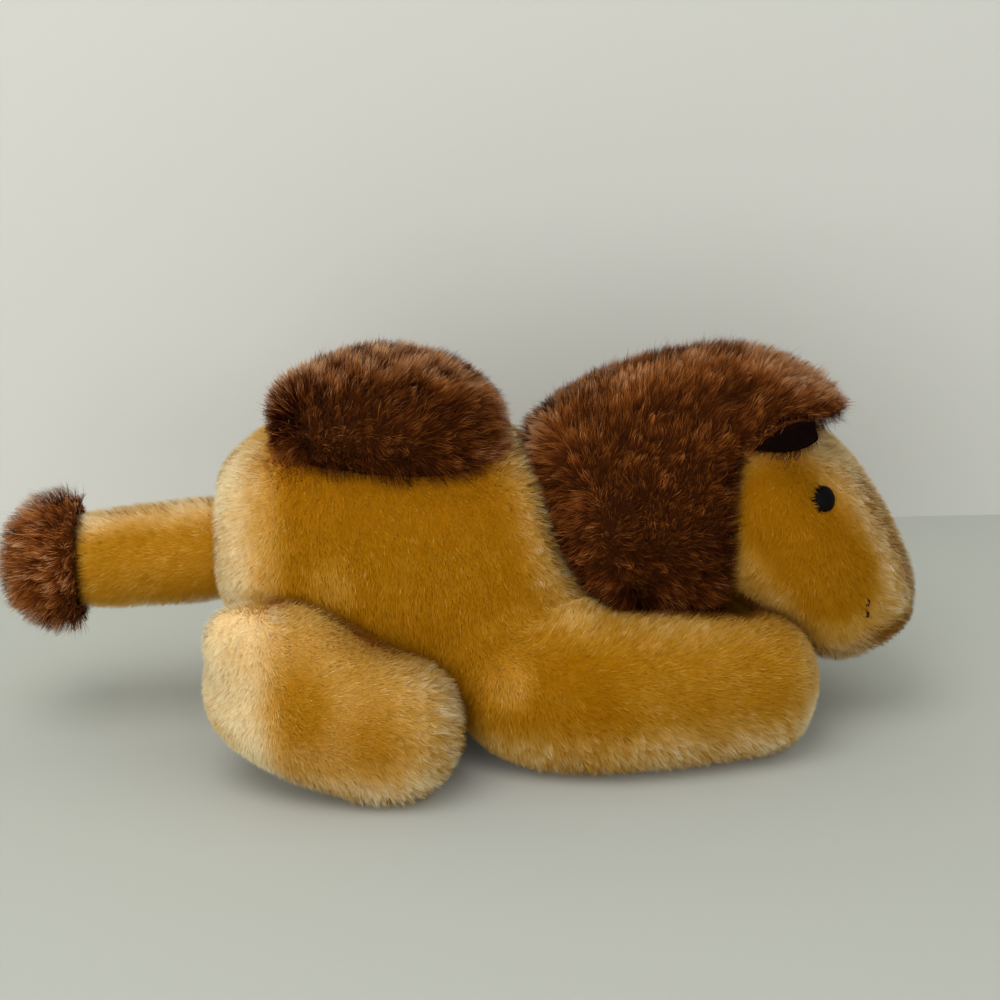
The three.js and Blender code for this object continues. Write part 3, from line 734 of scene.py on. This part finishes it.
def front_leg_comb(points):
    along, down, up = (
        one_way(points, *direction) for direction in ((1, 0, -0.15), (0.15, 0, -1), (0.10, 0, 1)))
    lowered = 0.25 * rise(points[:, 2], 0.016, 0.006) + 0.6 * rise(points[:, 0], 0.030, 0.010)
    return blended(blended(along, down, lowered), up, rise(points[:, 2], 0.024, 0.042))


def front_leg_look(points, normals):
    x, z = points[:, 0], points[:, 2]
    top, low, tip = rise(z, 0.029, 0.041), rise(z, 0.019, 0.008), rise(x, 0.073, 0.083)
    # Paler on top and low down: pale shaggy hair, partly a painted highlight on top and painted light where
    # the bottom faces away from the lamps
    tone = 0.04 + 0.38 * top + 0.48 * low + 0.16 * rise(x, 0.030, 0.044) + 0.42 * tip
    tone += 0.30 * near_spot(points, 0.007, 0.026, 0.010)
    shag = 0.05 + 0.6 * top + 0.9 * low * rise(x, 0.006, 0.018)
    return np.minimum(tone, 0.9), np.clip(shag * (1 - 0.8 * tip), 0, 1)


# %% The body's look turns into the front legs' look across the shoulders
def share_of_leg(points):
    return rise(past_shoulder(points * [1, 0, 1] + np.abs(points) * [0, 1, 0], 1), -0.010, 0.012)


def run_comb(points):
    return blended(body_comb(points), front_leg_comb(points), share_of_leg(points))


def run_look(points, normals):
    share = share_of_leg(points)
    pairs = zip(body_look(points, normals), front_leg_look(points, normals))
    return [first + (second - first) * share for first, second in pairs]


# %% Hind legs: smooth, with two golden spots, a pale rear and shaggy locks at the front end
def hind_leg_comb(points):
    away = unit((points - np.array([-0.070, 0, 0.028])) * [1, 0.2, 1])
    return blended(one_way(points, -0.6, 0, -0.8), away, rise(points[:, 0], -0.062, -0.036))


def hind_leg_look(points, normals):
    x, z = points[:, 0], points[:, 2]
    end, low = rise(x, -0.022, -0.008), rise(z, 0.013, 0.005)
    tone = 0.44 - 0.26 * near_spot(points, -0.041, 0.026, 0.013)
    tone = tone - 0.18 * near_spot(points, -0.023, 0.020, 0.012)
    # Paler low down: pale locks, and partly painted light where the bottom faces away from the lamps
    tone += 0.50 * rise(x, -0.042, -0.054) + 0.06 * rise(z, 0.034, 0.046) + 0.22 * end + 0.38 * low
    shag = 0.04 + 0.96 * end + 0.8 * low * rise(x, -0.036, -0.026)
    return np.clip(tone, 0, 1), np.clip(shag, 0, 1)


# %% Face: the strip over the nose is the paler cloth, with painted light where it faces forwards, and its pile is brushed outwards from the middle
def in_nose_strip(points):
    edge = np.interp(points[:, 0], (0.086, 0.0985), (0.0175, 0.0205))
    return rise(edge - np.abs(points[:, 1]), -0.0008, 0.0008)


def face_comb(points):
    outwards = points * [0, 60, 0] + [1.0, 0.0, -0.35]
    cheek = blended(
        one_way(points, -0.5, 0, -0.85), one_way(points, 0.1, 0, -1), rise(points[:, 0], 0.075, 0.085))
    comb = blended(cheek, outwards, in_nose_strip(points))
    for side, _ in SIDES:
        to_eye = middle_of(f"{side}_eye") - points
        close = rise(np.linalg.norm(to_eye, axis=1), 0.0065, 0.0045)
        behind_or_below = rise(to_eye @ [0.8, 0, 0.6], -0.001, 0.002)
        comb = blended(comb, unit(to_eye), close * behind_or_below)
    return comb


AMBER_FROM, AMBER_TO = np.array([0.0745, 0.0615]), np.array([0.0895, 0.0425])


def off_amber(points):
    line = AMBER_TO - AMBER_FROM
    flat = points[:, [0, 2]] - AMBER_FROM
    share = np.clip(flat @ line / (line @ line), 0, 1)
    return rise(np.linalg.norm(flat - share[:, None] * line, axis=1), 0.0075, 0.0135)


def face_look(points, normals):
    strip, off = in_nose_strip(points), off_amber(points)
    chin = rise(points[:, 2], 0.030, 0.020)
    # Painted light: the nose strip is painted paler where it faces forwards, away from the lamps, into its
    # shade
    ahead = strip * rise(normals[:, 0], 0.3, 0.9)
    tone = 0.03 + 0.36 * off + 0.16 * strip + 0.20 * chin + 0.35 * ahead
    return np.clip(tone, 0, 0.75), np.clip(0.04 + 0.12 * off + 0.5 * strip + 0.5 * chin, 0, 0.8)


def tail_look(points, normals):
    # Painted rim light: the tail is painted paler where it turns sideways to the camera, and its pile is
    # shaggier there
    return 0.20 + 0.55 * rim_mask_for_painted_light_and_shag(normals, 0.15, 0.75), 0.15 + 0.3 * rim_mask_for_painted_light_and_shag(normals)


# %% [markdown]
# ### Looks of the brown forms
# The long pile shows its dark depth on the sides and its light tips at the edges, and light is painted onto
# its top and its rims.

# %% Brown forms: dark low on the sides, with painted light on top and at the rims, and redder and lighter over the forehead
def brown_tone_with_painted_light(normals):
    # Painted light: the tone rises where the skin faces up and turns sideways to the camera
    edge = rise(1 - np.abs(normals[:, 1]), 0.35, 1.0) * rise(normals[:, 2], -0.4, 0.1)
    return 0.07 + 0.58 * edge


def mane_look(points, normals):
    front = rise(points[:, 0], 0.060, 0.078) * rise(points[:, 2], 0.066, 0.076)
    low = rise(points[:, 2], 0.056, 0.044)
    # Painted light: the rear of the mane, which turns away into shade next to the gold, is painted lighter
    rear = rise(-behind_seam(points), 0.010, 0.002)
    return brown_tone_with_painted_light(normals) + 0.16 * front + 0.08 * low + 0.12 * rear, 0.45 + 0.3 * low + 0.25 * front


def mane_comb(points):
    up, forward, rearward = (
        one_way(points, *direction) for direction in ((0.35, 0, 1), (1, 0, 0.35), (-1, 0, -0.25)))
    ahead = np.maximum(rise(points[:, 2], 0.066, 0.045), rise(points[:, 0], 0.050, 0.066))
    return blended(blended(up, forward, ahead), rearward, rise(-behind_seam(points), 0.012, 0.002))


def tuft_look(points, normals):
    # Painted rim light: the tuft is painted paler where it turns sideways to the camera
    return 0.42 + 0.38 * rim_mask_for_painted_light_and_shag(normals, 0.2, 0.9), np.full(len(points), 0.8)


def hump_look(points, normals):
    right = rise(points[:, 0], -0.010, 0.006) * rise(points[:, 2], 0.088, 0.074)
    # Painted light: the left end is painted lighter, as a glow of light through the pile over its shade
    left = rise(points[:, 0], -0.032, -0.044)
    # Painted highlight: the top is painted lighter
    top = rise(points[:, 2], 0.084, 0.094)
    return brown_tone_with_painted_light(normals) + 0.28 * right + 0.30 * left + 0.22 * top, 0.4 + 0.5 * right


def hump_comb(points):
    away = unit((points - np.array([-0.032, 0, 0.078])) * [1, 0.3, 1])
    ahead = 0.3 + 0.7 * rise(points[:, 0], -0.025, -0.004) * rise(points[:, 2], 0.094, 0.084)
    return blended(away, one_way(points, 1, 0, -0.1), ahead)


# %% Dress all forms
def middle_of(node):
    low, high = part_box(node)
    return np.array(low + high) / 2


BARE_AT_EYE, BARE_AT_MOUTH, MOUTH_HALF = 3.0 * MM, 0.6 * MM, 1.4 * MM
piles = {}
piles["body"] = dress(body, GOLD, run_comb, run_look, [
    hump.data, mane.data, tail.data, hind_legs["left"].data, hind_legs["right"].data])
for side, leg in front_legs.items():
    piles[f"{side}_front_leg"] = dress(leg, GOLD, run_comb, run_look, [mane.data, face.data])
for side, leg in hind_legs.items():
    piles[f"{side}_hind_leg"] = dress(leg, GOLD, hind_leg_comb, hind_leg_look, [whole_body])
piles["tail"] = dress(tail, GOLD, towards(-1, 0, -0.2), tail_look, [whole_body, tuft.data])
bare = [(middle_of(f"{side}_eye"), BARE_AT_EYE) for side, _ in SIDES]
bare += [(middle_of(f"{side}_mouth_stitch") + np.array([0, 0, up]), BARE_AT_MOUTH)
         for side, _ in SIDES for up in (-MOUTH_HALF, MOUTH_HALF)]
piles["face"] = dress(face, GOLD, face_comb, face_look, [mane.data, whole_body], bare)
piles["mane"] = dress(mane, BROWN, mane_comb, mane_look, [face.data, whole_body])
piles["rear_hump"] = dress(hump, BROWN, hump_comb, hump_look, [whole_body])
piles["tuft"] = dress(tuft, BROWN, away_from(-0.090, 0, 0.045), tuft_look, [tail.data])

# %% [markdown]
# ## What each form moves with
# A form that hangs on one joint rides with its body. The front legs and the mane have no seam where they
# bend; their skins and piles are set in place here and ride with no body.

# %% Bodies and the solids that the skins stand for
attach(body, "torso")
for pile in piles["body"]:
    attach(pile, "torso")
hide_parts("rump_panel", "belly_gusset", "left_side_cover", "right_side_cover", "body_filling")
for side, sign in SIDES:
    leg = front_legs[side]
    for piece in (leg, *piles[f"{side}_front_leg"]):
        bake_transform(piece)
    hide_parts(f"{side}_front_leg_cover", f"{side}_front_leg_filling")
for side, leg in hind_legs.items():
    for piece in (leg, *piles[f"{side}_hind_leg"]):
        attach(piece, f"{side}_hind_leg")
    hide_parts(f"{side}_hind_leg_cover", f"{side}_hind_leg_filling")
for piece, name, nodes in (
        (tail, "tail", ("tail_cover", "tail_filling")), (tuft, "tuft", ("tail_tuft",)),
        (hump, "torso", ("rear_hump_cover", "rear_hump_filling")),
        (face, "head", ("nose_gusset", "left_face_cover", "right_face_cover", "head_filling"))):
    for part in (piece, *piles[piece.name.replace("_skin", "")]):
        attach(part, name)
    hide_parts(*nodes)
for piece in (mane, *piles["mane"]):
    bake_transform(piece)
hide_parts("neck_cover", "neck_filling", "crown_cover")

# %% [markdown]
# ## Ears
# Each ear is a folded leaf of the brown plush with dark felt inside. It is so thin that its skin needs a
# finer voxel than the body, and its pile is shorter.

# %% Ears of brown plush with a felt lining
def ear_look(points, normals):
    return np.full(len(points), 0.35), np.full(len(points), 0.5)


for side, sign in SIDES:
    ear = skin(f"{side}_ear_skin", [f"{side}_ear_back"], EAR["sunk"], EAR_VOXEL, EAR_PASSES)
    lining = skin(f"{side}_ear_felt", [f"{side}_ear_lining"], 0.0, FELT_VOXEL, EAR_PASSES)
    grown = dress(
        ear, EAR, towards(-0.6, 0.9 * sign, -0.5), ear_look, [lining.data], under=lining.data)
    for piece in (ear, lining, *grown):
        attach(piece, f"{side}_ear")
    lining.data.materials.append(felt)
    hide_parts(f"{side}_ear_back")
    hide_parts(f"{side}_ear_lining")

# %% [markdown]
# ## Eyes, mouth and closing thread
# The eyes are black domes with a dull sheen, made of many fine rings and set so deep that the pile
# reaches over their edge. The mouth is one short stitch of twisted dark thread on each side of the nose.

# %% Eye domes
EYE_RADIUS = 3.5 * MM
EYE_HEIGHT = 3.0 * MM
EYE_SIDES, EYE_ROWS = 40, 14


def eye_line(node):
    points = points_of(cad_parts[node].data)
    middle = points.mean(0)
    out = np.linalg.svd(points - middle)[2][0]
    out = out if out[1] * middle[1] > 0 else -out
    return Vector(middle + out * ((points - middle) @ out).max()), Vector(out)


def dome(name, node):
    top, out = eye_line(node)
    seat = top - out * EYE_HEIGHT
    across = out.orthogonal().normalized()
    up = out.cross(across)
    shape = bmesh.new()
    around = np.linspace(0, 2 * math.pi, EYE_SIDES, endpoint=False)
    rows = [[shape.verts.new(
        seat + out * EYE_HEIGHT * math.sin(b)
        + (across * math.cos(a) + up * math.sin(a)) * EYE_RADIUS * math.cos(b)) for a in around]
        for b in np.linspace(-0.4, 1.5, EYE_ROWS)]
    for first, second in zip(rows, rows[1:]):
        for k in range(EYE_SIDES):
            shape.faces.new((first[k - 1], first[k], second[k], second[k - 1]))
    shape.faces.new(rows[-1])
    shape.faces.new(rows[0][::-1])
    for face_of_dome in shape.faces:
        face_of_dome.smooth = True
    return finished(name, shape, eye_black)


def finished(name, shape, material):
    mesh = bpy.data.meshes.new(name)
    shape.to_mesh(mesh)
    shape.free()
    mesh.materials.append(material)
    return link(bpy.data.objects.new(name, mesh))


for side, _ in SIDES:
    eye = dome(f"{side}_eye_dome", f"{side}_eye")
    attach(eye, "head")
    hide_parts(f"{side}_eye")
    print(eye.name, len(eye.data.polygons), "faces")


# %% Twisted thread along a path
THREAD_TWIST = 1.6 * MM
THREAD_STEP = 0.2 * MM
THREAD_SIDES = 8


def thread(name, path, radius, material):
    path = np.array(path, float)
    reach = np.concatenate([[0], np.cumsum(np.linalg.norm(np.diff(path, axis=0), axis=1))])
    along = np.linspace(0, reach[-1], int(reach[-1] / THREAD_STEP) + 2)
    centre = np.stack([np.interp(along, reach, path[:, k]) for k in range(3)], axis=1)
    way = unit(np.gradient(centre, axis=0))
    across = unit(np.cross(way, [0.31, 0.2, 0.93]))
    up = np.cross(way, across)
    shape = bmesh.new()
    for ply in (0, math.pi):
        turn = (along / THREAD_TWIST * 2 * math.pi + ply)[:, None]
        middle = centre + (across * np.cos(turn) + up * np.sin(turn)) * radius * 0.5
        rings = [[shape.verts.new(m + (a * math.cos(w) + u * math.sin(w)) * radius * 0.55)
                  for w in np.linspace(0, 2 * math.pi, THREAD_SIDES, endpoint=False)]
                 for m, a, u in zip(middle, across, up)]
        for first, second in zip(rings, rings[1:]):
            for k in range(THREAD_SIDES):
                shape.faces.new((first[k - 1], first[k], second[k], second[k - 1])).smooth = True
        shape.faces.new(rings[-1])
        shape.faces.new(rings[0][::-1])
    bmesh.ops.recalc_face_normals(shape, faces=shape.faces)
    return finished(name, shape, material)


# %% Mouth stitches and the closing thread of the belly
MOUTH_BOW = [(-0.95, -1.5), (-0.85, 0.7), (-0.5, 0.7), (0, -0.8), (0.5, 0.7), (0.85, 0.7), (0.95, -1.5)]
THREAD_RADIUS = 0.4 * MM
CROSSINGS = 10
for side, _ in SIDES:
    low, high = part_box(f"{side}_mouth_stitch")
    middle = (low + high) / 2
    outward = Vector((0.45, math.copysign(0.9, middle.y), 0))
    path = [middle + Vector((0, 0, (high.z - low.z) / 2 * z)) + outward * out * 0.8 * MM
            for z, out in MOUTH_BOW]
    stitch = thread(f"{side}_mouth_twist", path, THREAD_RADIUS, brown_thread)
    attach(stitch, "head")
    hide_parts(f"{side}_mouth_stitch")
low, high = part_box("closing_thread")
path = [(low.x + (high.x - low.x) * k / CROSSINGS, (low.y, high.y)[k % 2] * 0.6, (low.z + high.z) / 2)
        for k in range(CROSSINGS + 1)]
closing = thread("closing_twist", path, THREAD_RADIUS, cream_thread)
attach(closing, "torso")
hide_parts("closing_thread")
print("threads", len(closing.data.polygons), "faces in the belly")

# %% [markdown]
# ## Camera, light and floor
# The camera stands low in front of the camel's right side, four degrees towards its tail.

# %% Camera
CAMERA_AZIMUTH = math.radians(-4)
CAMERA_RISE = math.radians(18)
CAMERA_TARGET = Vector((0.009, 0, 0.057))
CAMERA_DISTANCE = 0.52
FOCAL_PIXELS, VIEW_PIXELS, SENSOR = 2075, 1000, 36
camera = link(bpy.data.objects.new("camera", bpy.data.cameras.new("camera")))
camera.data.sensor_width = SENSOR
camera.data.lens = SENSOR * FOCAL_PIXELS / VIEW_PIXELS
back = Vector((
    math.sin(CAMERA_AZIMUTH) * math.cos(CAMERA_RISE), -math.cos(CAMERA_AZIMUTH) * math.cos(CAMERA_RISE),
    math.sin(CAMERA_RISE)))
camera.location = CAMERA_TARGET + back * CAMERA_DISTANCE
camera.rotation_euler = back.to_track_quat("Z", "Y").to_euler()
camera.data.clip_start = 0.01
bpy.context.scene.camera = camera
print("camera lens", camera.data.lens, "mm")

# %% Lamps and world
scene = bpy.context.scene
scene.view_settings.view_transform = "Standard"
world = bpy.data.worlds.new("room")
scene.world = world
world.use_nodes = True
world.node_tree.nodes["Background"].inputs["Color"].default_value = (0.95, 0.97, 1.0, 1)
world.node_tree.nodes["Background"].inputs["Strength"].default_value = 0.65


def lamp(name, place, size, power, colour):
    light = bpy.data.lights.new(name, "AREA")
    light.shape = "DISK"
    light.size = size
    light.energy = power
    light.color = colour
    piece = link(bpy.data.objects.new(name, light))
    piece.location = place
    piece.rotation_euler = (Vector(place) - CAMERA_TARGET).to_track_quat("Z", "Y").to_euler()
    return piece


lamp("overhead", (-0.25, -0.35, 0.85), 0.6, 2.6, (1.0, 0.99, 0.95))
lamp("window", (-0.35, -1.0, 0.20), 0.8, 5.5, (0.99, 0.99, 1.0))


# %% Floor and wall, which is painted on its front only
def plain(name, colour):
    material, _, shader = new_material(name, 0.8)
    shader.inputs["Base Color"].default_value = (*colour, 1)
    return material


def clear_from_behind(material):
    """Leaves the paint on the front side only, so that the toy can be looked at from all sides."""
    tree = material.node_tree
    surface = next(node for node in tree.nodes if node.type == "OUTPUT_MATERIAL").inputs["Surface"]
    paint = surface.links[0].from_socket
    side, clear, mix = (tree.nodes.new(kind) for kind in (
        "ShaderNodeNewGeometry", "ShaderNodeBsdfTransparent", "ShaderNodeMixShader"))
    tree.links.new(side.outputs["Backfacing"], mix.inputs[0])
    tree.links.new(paint, mix.inputs[1])
    tree.links.new(clear.outputs[0], mix.inputs[2])
    tree.links.new(mix.outputs[0], surface)


def backdrop(name, profile, colour):
    shape = bmesh.new()
    rows = [[shape.verts.new((x, y, z)) for x in (-3.0, 3.0)] for y, z in profile]
    for low, high in zip(rows, rows[1:]):
        shape.faces.new((low[0], low[1], high[1], high[0])).smooth = True
    mesh = bpy.data.meshes.new(name)
    shape.to_mesh(mesh)
    shape.free()
    mesh.materials.append(plain(f"{name}_paint", colour))
    link(bpy.data.objects.new(name, mesh))
    return mesh.materials[0]


WALL_AT = 0.148
backdrop("floor", [(-3.0, 0.0), (3.0, 0.0)], (0.53, 0.545, 0.49))
clear_from_behind(backdrop("wall", [(WALL_AT, 0.0), (WALL_AT, 3.0)], (0.69, 0.685, 0.63)))
